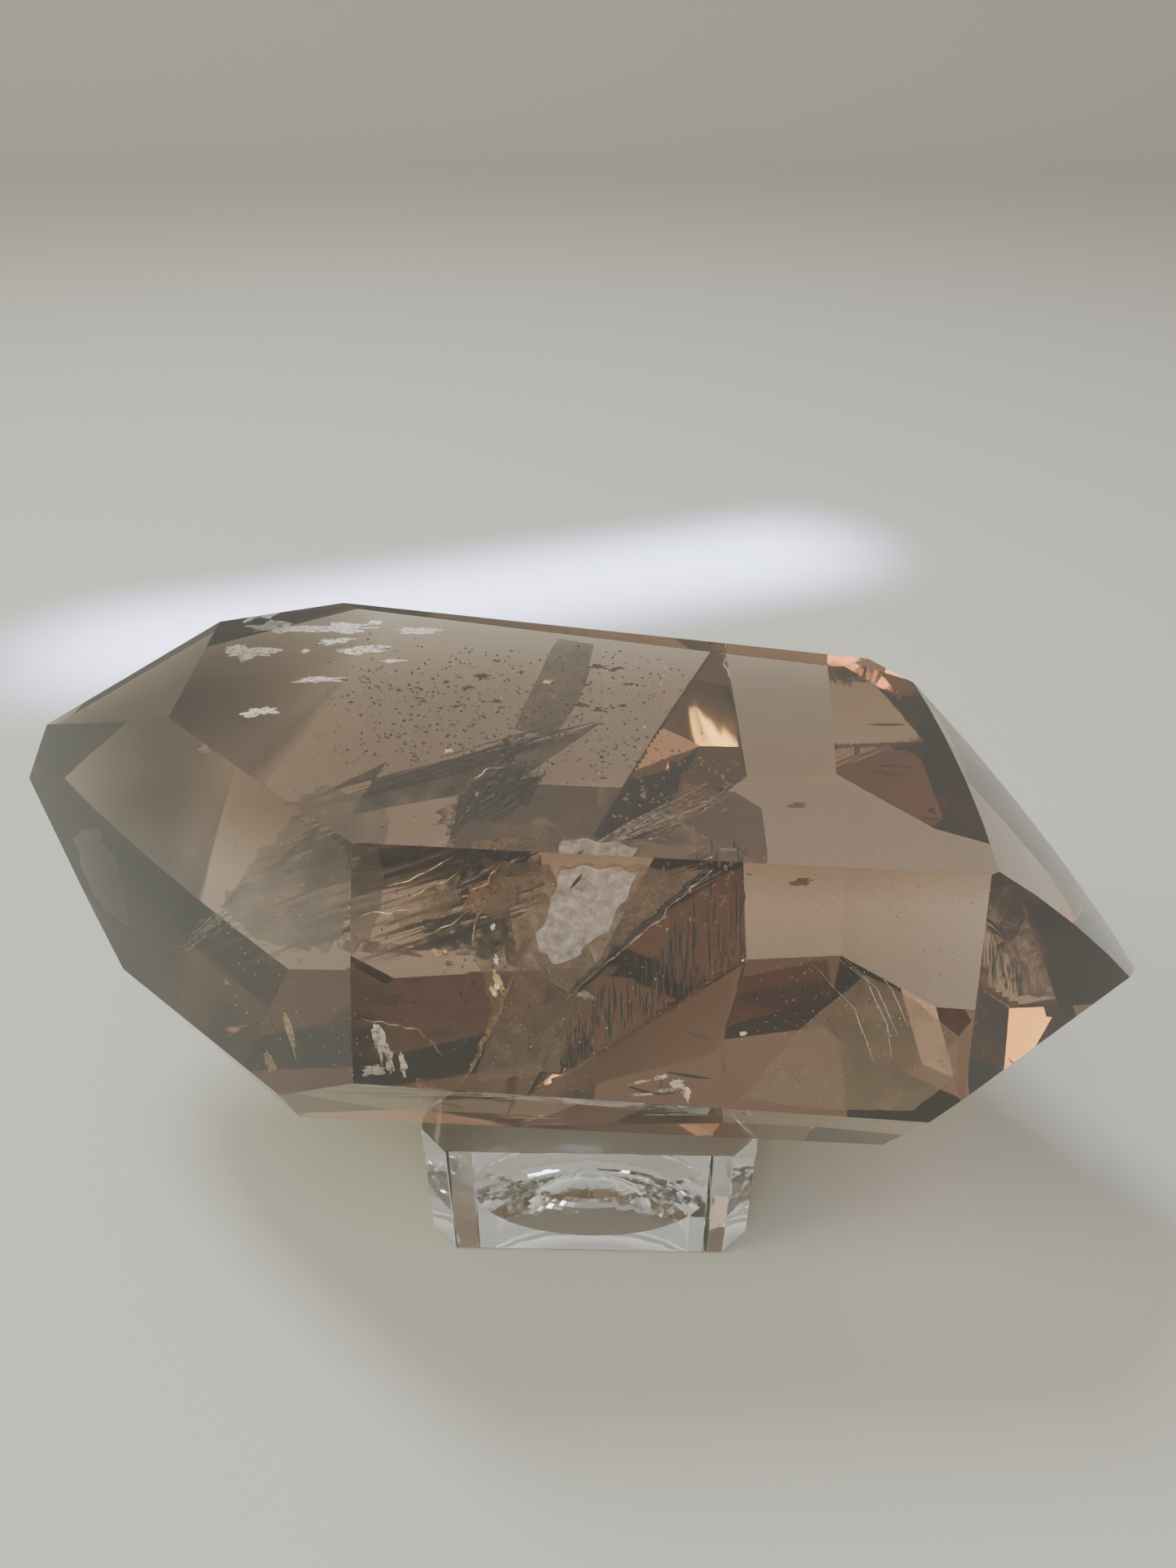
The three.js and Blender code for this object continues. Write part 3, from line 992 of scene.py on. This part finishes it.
# %% Ragged flakes
RIM_STEPS = 28
CHANCE = 0.25
CHANCE_REACH = 50  # pixels over which neighbours turn alike
LOBES = 2.3  # how many swells a flake's rim has
NICKS = 7
NICK_SHARE = 0.4  # of the swells' height
TURN_SEED_STEP = 3.7
RIM_SEED_STEP = 5.1


def ragged_rim(centre, right, up, long, wide, ragged, seed):
    """Points round a flake. long and wide: half its length and width in mm."""
    rim = []
    for i in range(RIM_STEPS):
        angle = 2 * math.pi * i / RIM_STEPS
        c, s = math.cos(angle), math.sin(angle)
        reach = 1 + ragged * noise.noise(Vector((LOBES * c, LOBES * s, seed * RIM_SEED_STEP)))
        reach += NICK_SHARE * ragged * noise.noise(Vector((NICKS * c, NICKS * s, seed)))
        rim.append(centre + (right * long * c + up * wide * s) * reach * MM)
    return rim


def add_plate(whole, rim, out, thick=0.05):
    """Adds a thin closed plate to a bmesh. Its rim runs anticlockwise as seen from out. thick in mm."""
    rings = [[whole.verts.new(point + out * half * thick * MM) for point in rim] for half in (0.5, -0.5)]
    whole.faces.new(rings[0])
    whole.faces.new(rings[1][::-1])
    for i in range(len(rim)):
        whole.faces.new((rings[0][i], rings[0][i - 1], rings[1][i - 1], rings[1][i]))


def flakes(name, spots, material, ragged=0.35, flash=1.0):
    """One piece of several flakes. spots: (x, y, depth, half length, half width, turn) each.

    x and y are photo pixels, turn is in degrees and the rest in mm. flash: 1 mirrors the window.
    """
    whole = bmesh.new()
    for seed, (x, y, depth, long, wide, turn) in enumerate(spots):
        centre, bent = seen_at(x, y, depth)
        right = VIEW @ Vector((math.cos(math.radians(turn)), math.sin(math.radians(turn)), 0))
        spot = Vector((seed * TURN_SEED_STEP, x / CHANCE_REACH, y / CHANCE_REACH))
        chance = noise.noise_vector(spot) * CHANCE
        out = (-bent + WINDOW_INSIDE * flash + chance).normalized()
        right = (right - out * right.dot(out)).normalized()
        rim = ragged_rim(centre, right, out.cross(right), long, wide, ragged, seed)
        add_plate(whole, push_inside(rim), out)
    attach(place(name, to_mesh(whole, name), material), BODY)
    print(name, len(spots), "flakes")


# %% White and silver flakes
WHITE_FLAKES = [(310, 802, 5, 2.6, 0.9, 14), (290, 796, 5, 0.9, 0.5, 30), (392, 835, 6, 2.0, 0.55, 14),
                (318, 875, 6, 1.4, 0.7, 10), (345, 768, 4, 3.4, 0.9, 5), (420, 772, 4, 3.4, 0.8, 8),
                (440, 800, 5, 2.6, 0.7, 12), (412, 788, 5, 1.4, 0.5, 20), (515, 774, 5, 2.4, 0.7, 4),
                (461, 765, 4, 0.7, 0.4, 0), (375, 800, 5, 0.4, 0.3, 30), (482, 812, 5, 1.0, 0.25, 10)]
SILVER_FLAKES = [(466, 1278, 3, 0.5, 1.6, 15), (460, 1315, 3, 0.8, 0.5, 0), (478, 1300, 3, 0.3, 1.5, 12),
                 (495, 1308, 3, 0.25, 1.1, 20), (720, 1224, 4, 0.8, 0.3, -20), (610, 1180, 4, 0.2, 0.4, 10),
                 (605, 1140, 4, 0.2, 0.3, 0), (610, 1215, 4, 0.2, 0.5, 0), (913, 1270, 2, 0.3, 0.2, 0),
                 (812, 1324, 3, 0.6, 0.2, 10), (832, 1332, 3, 0.6, 0.4, -25), (842, 1342, 3, 0.3, 0.8, 20),
                 (820, 1340, 3, 0.9, 0.15, 5), (786, 1330, 3, 0.8, 0.12, 15), (790, 1345, 3, 0.9, 0.12, -5),
                 (650, 1374, 2, 1.8, 0.3, 0), (826, 1370, 2, 1.8, 0.3, 0)]

flakes("white_flakes", WHITE_FLAKES, FROST, ragged=0.9)
flakes("silver_flakes", SILVER_FLAKES, SILVER, ragged=0.8)

# %% [markdown]
# Films with an outline of their own
#
# A few healed films are so large that their outline matters: the frosted patch that shows first of all in
# the front face, the veils round it, and the shadow of the wing. Their corners are taken from the photo, put
# on one plane in the stone, and joined by a slightly wavering line. A grid of bent rays could follow a
# curved film, but these are flat as far as the eye can tell.

# %% Outlined films
FILM_SEED_STEP = 4.1


def outlined_films(name, outlines, material, flash=0.0, waver=0.5):
    """One piece of several closed sheets. outlines: (depth in mm, photo pixels of the corners) each."""
    whole = bmesh.new()
    for seed, (depth, corners) in enumerate(outlines):
        seen = [seen_at(x, y, depth) for x, y in corners]
        out = (-seen[0][1] + WINDOW_INSIDE * flash).normalized()
        middle = sum((point for point, _ in seen), Vector()) / len(seen)
        on_plane = [point + bent * (middle - point).dot(out) / bent.dot(out) for point, bent in seen]
        rim = smooth_path(on_plane + on_plane[:1], waver, seed * FILM_SEED_STEP)[:-1]
        rim = push_inside([point - out * (point - middle).dot(out) for point in rim])
        turning = sum((a - middle).cross(b - middle).dot(out) for a, b in zip(rim, rim[1:] + rim[:1]))
        add_plate(whole, rim if turning > 0 else rim[::-1], out)
    bmesh.ops.triangulate(whole, faces=[f for f in whole.faces if len(f.verts) > 4])
    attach(place(name, to_mesh(whole, name), material), BODY)
    print(name, len(outlines), "films")


# %% The patch in the front face and what surrounds it
FROSTED_PATCH = [(3.2, [(690, 1062), (750, 1062), (866, 1070), (820, 1110), (761, 1162), (697, 1216),
                        (668, 1200), (655, 1174), (672, 1122)])]
BRIGHT_PATCH = [(2.6, [(690, 1068), (740, 1066), (785, 1074), (774, 1100), (744, 1140), (712, 1172),
                       (680, 1182), (658, 1170), (672, 1120)])]
MIDDLE_VEIL = [(6.0, [(596, 1060), (676, 1060), (664, 1150), (700, 1196), (764, 1184), (706, 1250),
                      (684, 1318), (586, 1330), (604, 1240), (584, 1180), (600, 1120)])]
PAINTED_WING_REFLECTION = [(5.0, [(520, 1130), (560, 1122), (622, 1130), (626, 1160), (600, 1178), (548, 1172),
                    (520, 1158)])]
TAN_ZONE = [(4.0, [(482, 1122), (520, 1096), (562, 1092), (560, 1112), (520, 1132), (490, 1138)]),
            (4.0, [(582, 1120), (604, 1096), (634, 1082), (632, 1112), (606, 1124)])]

outlined_films("frosted_patch", FROSTED_PATCH, TAN_VEIL, flash=0.3)
outlined_films("bright_patch", BRIGHT_PATCH, THIN_FROST, flash=0.6)
outlined_films("middle_veil", MIDDLE_VEIL, TAN_VEIL)
# Painted shade: a dark film where the wing fracture, seen through the front face, mirrors a dark part of the
# room.
outlined_films("painted_wing_reflection", PAINTED_WING_REFLECTION, DUSKY_CLAY_AND_SHADE)
outlined_films("tan_zone", TAN_ZONE, TAN_VEIL)

# %% Veils at both ends and the shadow of the wing
LEFT_VEIL = [(5.0, [(362, 1000), (424, 1044), (424, 1130), (398, 1172), (330, 1160), (264, 1116),
                    (300, 1070)]),
             (3.0, [(92, 1030), (120, 1018), (150, 1080), (160, 1136), (132, 1120), (104, 1076)])]
WING_SHADOW = [(12.0, [(368, 988), (430, 966), (490, 948), (590, 925), (677, 910), (742, 887), (692, 921),
                       (640, 955), (577, 975), (490, 990), (427, 1003), (393, 1014)])]
FOOT_VEIL = [(5.0, [(912, 1350), (985, 1262), (1064, 1198), (1120, 1226), (1176, 1272), (1176, 1322),
                    (1124, 1364), (1010, 1364)])]

outlined_films("left_veil", LEFT_VEIL, PALE_VEIL, waver=0.8)
# The wing's shadow is painted shade: a dark film where the wing fracture mirrors a dark part of the room.
outlined_films("wing_shadow", WING_SHADOW, WING_SHADE_FILM, waver=0.12)
outlined_films("foot_veil", FOOT_VEIL, MILKY_VEIL, waver=0.12)

# %% [markdown]
# Coloured flakes
#
# Iron colours some flakes gold or tan, and clay or chlorite makes others dark. They are made as the silver
# flakes are. The golden ones are turned to flash, and the others only shade what lies behind them.

# %% Golden, tan and dark flakes
GOLD_FLAKES = [(356, 1268, 4, 0.4, 2.0, 8), (331, 1304, 4, 0.5, 1.1, 20), (672, 838, 8, 0.4, 0.3, 0),
               (550, 923, 8, 0.4, 0.3, 0), (612, 1206, 5, 0.3, 1.2, 20), (606, 1218, 5, 0.2, 0.8, 30),
               (541, 1172, 5, 0.9, 0.4, -30), (553, 1184, 5, 0.4, 0.3, 0)]
TAN_FLAKES = [(540, 1355, 3, 2.6, 0.6, -40), (278, 1206, 3, 0.3, 0.3, 0), (368, 1182, 3, 0.3, 0.3, 0),
              (425, 1150, 3, 0.3, 0.3, 0), (602, 1100, 6, 2.4, 1.0, 40), (980, 990, 12, 1.0, 0.3, 10)]
DUSKY_FLAKES = [(622, 962, 11, 3.4, 1.1, 20), (572, 995, 12, 2.6, 1.6, 40), (560, 1150, 6, 3.4, 1.2, 5),
                (470, 1165, 6, 2.6, 0.5, -10)]
BLOTCHES = [(592, 831, 6, 0.8, 0.4, 10), (575, 845, 6, 0.5, 0.3, 30), (735, 819, 6, 0.9, 0.4, 0),
            (757, 822, 6, 0.7, 0.3, 15), (715, 867, 7, 0.7, 0.3, 10), (735, 872, 7, 0.6, 0.25, 20),
            (720, 842, 6, 0.4, 0.2, 0), (772, 841, 6, 0.5, 0.2, 5), (765, 867, 7, 0.4, 0.2, 20),
            (610, 812, 5, 0.4, 0.2, 0), (548, 838, 6, 0.3, 0.2, 10), (560, 868, 7, 0.5, 0.15, 25),
            (612, 862, 7, 0.4, 0.2, 0), (520, 862, 6, 0.4, 0.15, 0), (640, 826, 6, 0.3, 0.2, 40)]

flakes("golden_flakes", GOLD_FLAKES, GOLD, ragged=0.7)
flakes("tan_flakes", TAN_FLAKES, TAN, ragged=0.7, flash=0.0)
flakes("dusky_flakes", DUSKY_FLAKES, DUSKY_CLAY_AND_SHADE, ragged=0.8, flash=0.0)
flakes("blotches", BLOTCHES, DUSKY_SPECK, ragged=1.2, flash=0.0)

# %% [markdown]
# Clouds of specks
#
# Hundreds of bubbles and grains hang in the stone in loose clouds. They repeat without a pattern, so Geometry
# Nodes scatter them: points fall on a patch inside the stone, thicker where a noise is high, then drift off
# the patch, and each gets a small pebble of its own size and turn.

# %% The tree that scatters specks
SPARSE_BELOW = 0.42  # of the cloud's noise
DENSE_ABOVE = 0.70
SMALLEST = (0.3, 0.3, 0.15)  # a pebble's length, width and height, as shares of the speck size
LARGEST = (1.2, 0.9, 0.5)


def speck_tree():
    tree = new_tree("scatter_specks", (("Patch", "Geometry"), ("Specks per square metre", "Float"),
                                       ("Speck size", "Float"), ("Drift", "Float"), ("Cloud size", "Float"),
                                       ("Seed", "Int"), ("Finish", "Material")), "Specks")
    given = add(tree, "NodeGroupInput").outputs
    where = add(tree, "GeometryNodeInputPosition")
    fine = add(tree, "ShaderNodeMath", {"operation": "DIVIDE"}, _0=1.0, _1=given["Cloud size"])
    cloud = add(tree, "ShaderNodeTexNoise", Vector=where.outputs[0], Scale=fine.outputs[0], Detail=2.0)
    thick = add(tree, "ShaderNodeMapRange", Value=cloud.outputs["Fac"], From_Min=SPARSE_BELOW,
                From_Max=DENSE_ABOVE)
    many = add(tree, "ShaderNodeMath", {"operation": "MULTIPLY"}, _0=thick.outputs[0],
               _1=given["Specks per square metre"])
    points = add(tree, "GeometryNodeDistributePointsOnFaces", Mesh=given["Patch"], Density=many.outputs[0],
                 Seed=given["Seed"])
    shift = add(tree, "FunctionNodeRandomValue", {"data_type": "FLOAT_VECTOR"}, _0=(-1, -1, -1),
                _1=(1, 1, 1), Seed=given["Seed"])
    drift = add(tree, "ShaderNodeVectorMath", {"operation": "SCALE"}, _0=shift.outputs[0],
                Scale=given["Drift"])
    adrift = add(tree, "GeometryNodeSetPosition", Geometry=points.outputs["Points"], Offset=drift.outputs[0])
    pebble = add(tree, "GeometryNodeMeshIcoSphere", Radius=0.5, Subdivisions=1)
    size = add(tree, "FunctionNodeRandomValue", {"data_type": "FLOAT_VECTOR"}, _0=SMALLEST, _1=LARGEST,
               Seed=given["Seed"])
    scale = add(tree, "ShaderNodeVectorMath", {"operation": "SCALE"}, _0=size.outputs[0],
                Scale=given["Speck size"])
    turn = add(tree, "FunctionNodeRandomValue", {"data_type": "FLOAT_VECTOR"}, _0=(0, 0, 0),
               _1=(6.3, 6.3, 6.3), Seed=given["Seed"])
    specks = add(tree, "GeometryNodeInstanceOnPoints", Points=adrift.outputs[0],
                 Instance=pebble.outputs["Mesh"], Rotation=turn.outputs[0], Scale=scale.outputs[0])
    real = add(tree, "GeometryNodeRealizeInstances", Geometry=specks.outputs[0])
    done = add(tree, "GeometryNodeSetMaterial", Geometry=real.outputs[0], Material=given["Finish"])
    tree.links.new(done.outputs[0], add(tree, "NodeGroupOutput").inputs[0])
    return tree


SPECK_TREE = speck_tree()
print("scatter tree:", len(SPECK_TREE.nodes), "nodes")

# %% [markdown]
# Where the specks hang
#
# The photo shows a dark cloud and a pale one under the top face, the brightest right in the gleam, and finer
# ones all along the front. Each has its own patch, seed and grain. Most real specks are too fine to show at
# this size, so these are somewhat coarser and fewer.

# %% A cloud from a patch and the tree
PER_CM2 = 1e4  # in specks per square metre
PEBBLE_FACES = 20


def speck_cloud(name, corners, depth, material, per_cm2, size, drift=1.5, cloud=4.0, seed=1):
    """corners: photo pixels of the patch's outline. depth, size, drift and cloud in mm."""
    patch = bpy.data.meshes.new(name)
    patch.from_pydata([seen_at(x, y, depth)[0] for x, y in corners], [], [tuple(range(len(corners)))])
    piece = grown(name, patch, SPECK_TREE,
                  {"Specks per square metre": per_cm2 * PER_CM2, "Speck size": size * MM, "Drift": drift * MM,
                   "Cloud size": cloud * MM, "Seed": seed, "Finish": material})
    print(name, len(piece.data.polygons) // PEBBLE_FACES, "specks")


# %% The patches that the clouds hang about
UNDER_TOP = [(400, 800), (820, 805), (860, 950), (430, 950)]
UNDER_TOP_PALE = [(430, 815), (800, 820), (860, 950), (430, 960)]
IN_THE_GLEAM = [(820, 930), (915, 935), (905, 1000), (760, 1040), (735, 1010)]
ROUND_THE_PATCH = [(680, 1050), (880, 1060), (850, 1200), (700, 1330), (560, 1330), (620, 1180)]
FRONT_RIGHT = [(930, 1070), (1190, 1080), (1180, 1290), (940, 1300)]
FRONT_LEFT = [(260, 1010), (420, 1010), (420, 1320), (300, 1300)]
BEHIND_THE_VEINS = [(440, 1060), (640, 1060), (640, 1320), (440, 1320)]

speck_cloud("specks_top", UNDER_TOP, 6.0, DUSKY_SPECK, 420, 0.46, drift=3.0)
speck_cloud("specks_top_light", UNDER_TOP_PALE, 7.0, PALE_SPECK, 110, 0.36, drift=3.0, seed=2)
speck_cloud("specks_gleam", IN_THE_GLEAM, 15.0, PALE_SPECK, 260, 0.60, drift=0.8, cloud=2.0, seed=3)
speck_cloud("specks_front", ROUND_THE_PATCH, 5.0, PALE_SPECK, 160, 0.28, drift=2.0, seed=4)
speck_cloud("specks_right", FRONT_RIGHT, 4.0, PALE_SPECK, 220, 0.20, drift=2.0, seed=5)
speck_cloud("specks_left", FRONT_LEFT, 4.0, PALE_SPECK, 110, 0.24, drift=2.0, seed=6)
speck_cloud("specks_front_dark", BEHIND_THE_VEINS, 5.0, DUSKY_SPECK, 160, 0.34, drift=2.0, seed=7)

# %% [markdown]
# The stand
#
# A common clear acrylic block, cast and polished. Through its front face a round hollow in its underside
# shows as a broad oval. The hollow is a ball's cap. It is cut out with a Boolean, because a lens of solid
# acrylic with a sharp rim is just what cutting leaves.

# %% Clear acrylic
ACRYLIC_IOR = 1.49
STAND_CLEARNESS = 0.97


def make_acrylic():
    """Cast and polished acrylic: clear as water, with the faintest grey-green in its depth."""
    material, tree = new_material("polished_clear_acrylic")
    shader = add(tree, "ShaderNodeBsdfPrincipled", Base_Color=(1, 1, 1, 1), Roughness=0.0, IOR=ACRYLIC_IOR,
                 Transmission_Weight=STAND_CLEARNESS)
    tone = add(tree, "ShaderNodeVolumeAbsorption", Color=colour("#d6dedb"), Density=6.0)
    add(tree, "ShaderNodeOutputMaterial", Surface=shader.outputs[0], Volume=tone.outputs[0])
    return material


ACRYLIC = make_acrylic()
print("made", ACRYLIC.name)

# %% The block with its hollow
HOLLOW_RADIUS = 11.6 * MM
HOLLOW_DEPTH = 3.0 * MM
BALL_SEGMENTS = 96


def hollowed(mesh):
    """The stand with the cap of a ball taken out of its foot."""
    ball = (HOLLOW_RADIUS ** 2 + HOLLOW_DEPTH ** 2) / (2 * HOLLOW_DEPTH)
    work = bmesh.new()
    bmesh.ops.create_uvsphere(work, u_segments=BALL_SEGMENTS, v_segments=BALL_SEGMENTS, radius=ball,
                              matrix=Matrix.Translation((0, 0, HOLLOW_DEPTH - ball)))
    block, cutter = bpy.data.objects.new("block", mesh), bpy.data.objects.new("cutter", to_mesh(work, "cap"))
    for thing in (block, cutter):
        bpy.context.scene.collection.objects.link(thing)
    cut = block.modifiers.new("hollow", "BOOLEAN")
    cut.operation, cut.object, cut.solver = "DIFFERENCE", cutter, "EXACT"
    result = bpy.data.meshes.new_from_object(block.evaluated_get(bpy.context.evaluated_depsgraph_get()))
    bpy.data.objects.remove(block)
    bpy.data.objects.remove(cutter)
    result.name = "clear_stand"
    return result


stand_mesh = hollowed(ease_edges(merged_copy("stand"), "block"))
stand = dress("stand", "clear_stand", stand_mesh, ACRYLIC)
